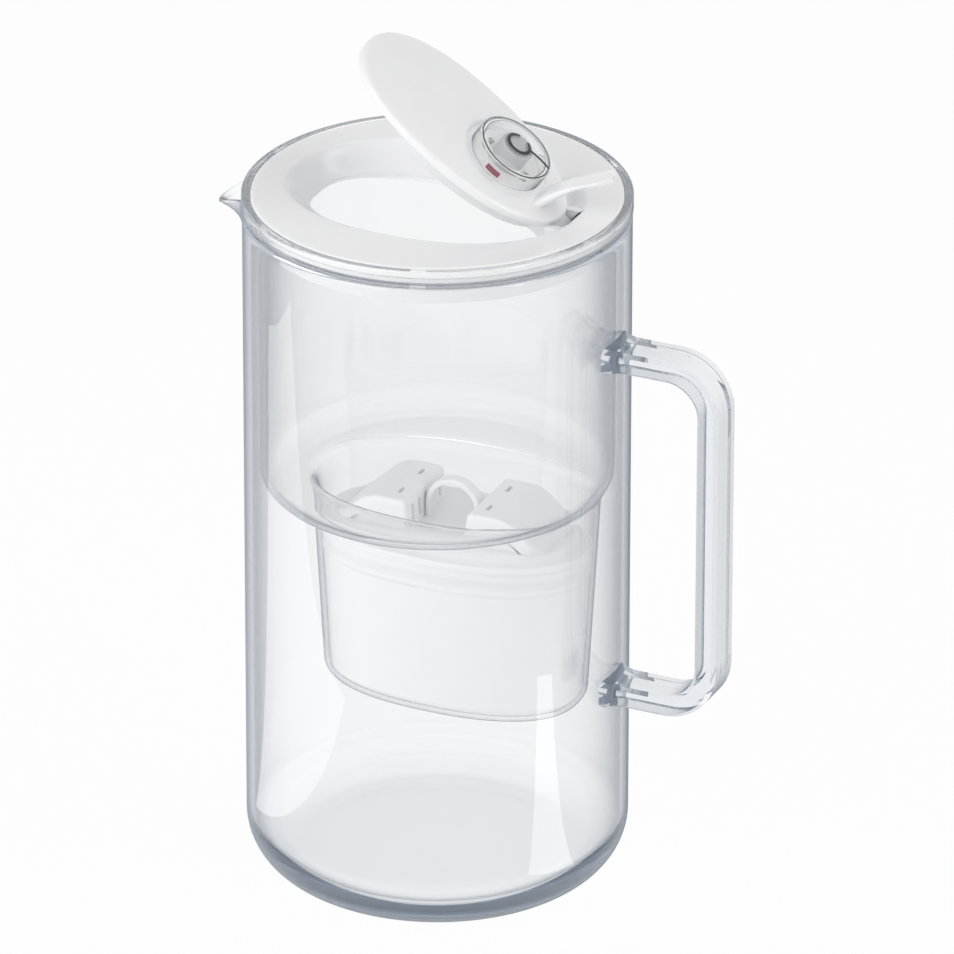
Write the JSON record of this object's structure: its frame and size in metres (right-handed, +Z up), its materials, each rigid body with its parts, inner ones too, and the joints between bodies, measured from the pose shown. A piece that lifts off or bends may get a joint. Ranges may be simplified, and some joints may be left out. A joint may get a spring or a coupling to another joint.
{
  "type": "water filter pitcher",
  "caption": "Tall clear glass jug with a bar handle, a lift-out funnel holding an oval filter cartridge, and a white lid with a hinged flap, thumb lever and dial.",
  "frame": {"origin": "centre of the jug's base, on the surface that it stands on", "axes": "+Z up along the jug's axis, +X from the spout towards the handle, +Y to the left when seen from the spout towards the handle"},
  "size_m": [0.1938, 0.1366, 0.3125],
  "materials": {
    "glass": "clear",
    "clear_plastic": "clear",
    "clear_silicone": "satin",
    "white_gloss_plastic": "gloss",
    "white_plastic": "satin",
    "cartridge_plastic": "satin",
    "cartridge_rubber": "satin",
    "filter_media": "matte",
    "filter_screen": "matte",
    "steel": "satin",
    "grained_grey_plastic": "satin",
    "black_plastic": "gloss",
    "red_plastic": "gloss"
  },
  "bodies": {
    "jug": {"glass_jug": "glass", "glass_handle": "glass"},
    "funnel": {"funnel_hopper": "clear_plastic", "cartridge_pocket": "clear_plastic", "rim_seal": "clear_silicone"},
    "cartridge": {"cartridge_shell": "cartridge_plastic", "cartridge_seal": "cartridge_rubber", "cartridge_cap": "cartridge_plastic", "cartridge_loop": "cartridge_plastic", "cartridge_media": "filter_media", "upper_screen": "filter_screen", "lower_screen": "filter_screen"},
    "lid": {"lid": "white_gloss_plastic", "hinge_cover": "white_plastic", "hinge_pin": "steel"},
    "flap": {"flap_cover": "white_gloss_plastic", "flap_base": "white_plastic", "flap_seal": "clear_silicone", "scale_disc": "white_gloss_plastic", "index_mark": "red_plastic"},
    "dial": {"dial_hub": "grained_grey_plastic", "dial_knob": "clear_plastic", "pointer_ring": "black_plastic", "dial_clip": "steel"}
  },
  "joints": [
    {"name": "funnel_lift", "type": "slide", "parent": "jug", "child": "funnel", "axis": [0, 0, 1], "range_m": [0, 0.2]},
    {"name": "cartridge_lift", "type": "slide", "parent": "funnel", "child": "cartridge", "axis": [0, 0, 1], "range_m": [0, 0.075]},
    {"name": "lid_lift", "type": "slide", "parent": "funnel", "child": "lid", "axis": [0, 0, 1], "range_m": [0, 0.04]},
    {"name": "flap_hinge", "type": "hinge", "parent": "lid", "child": "flap", "pos_m": [0.0495, 0, 0.2506], "axis": [0, 1, 0], "range_deg": [-36.3, 25.7]},
    {"name": "dial_turn", "type": "hinge", "parent": "flap", "child": "dial", "pos_m": [0.02557, 0, 0.27562], "axis": [0.592, 0, 0.8059], "continuous": true}
  ]
}
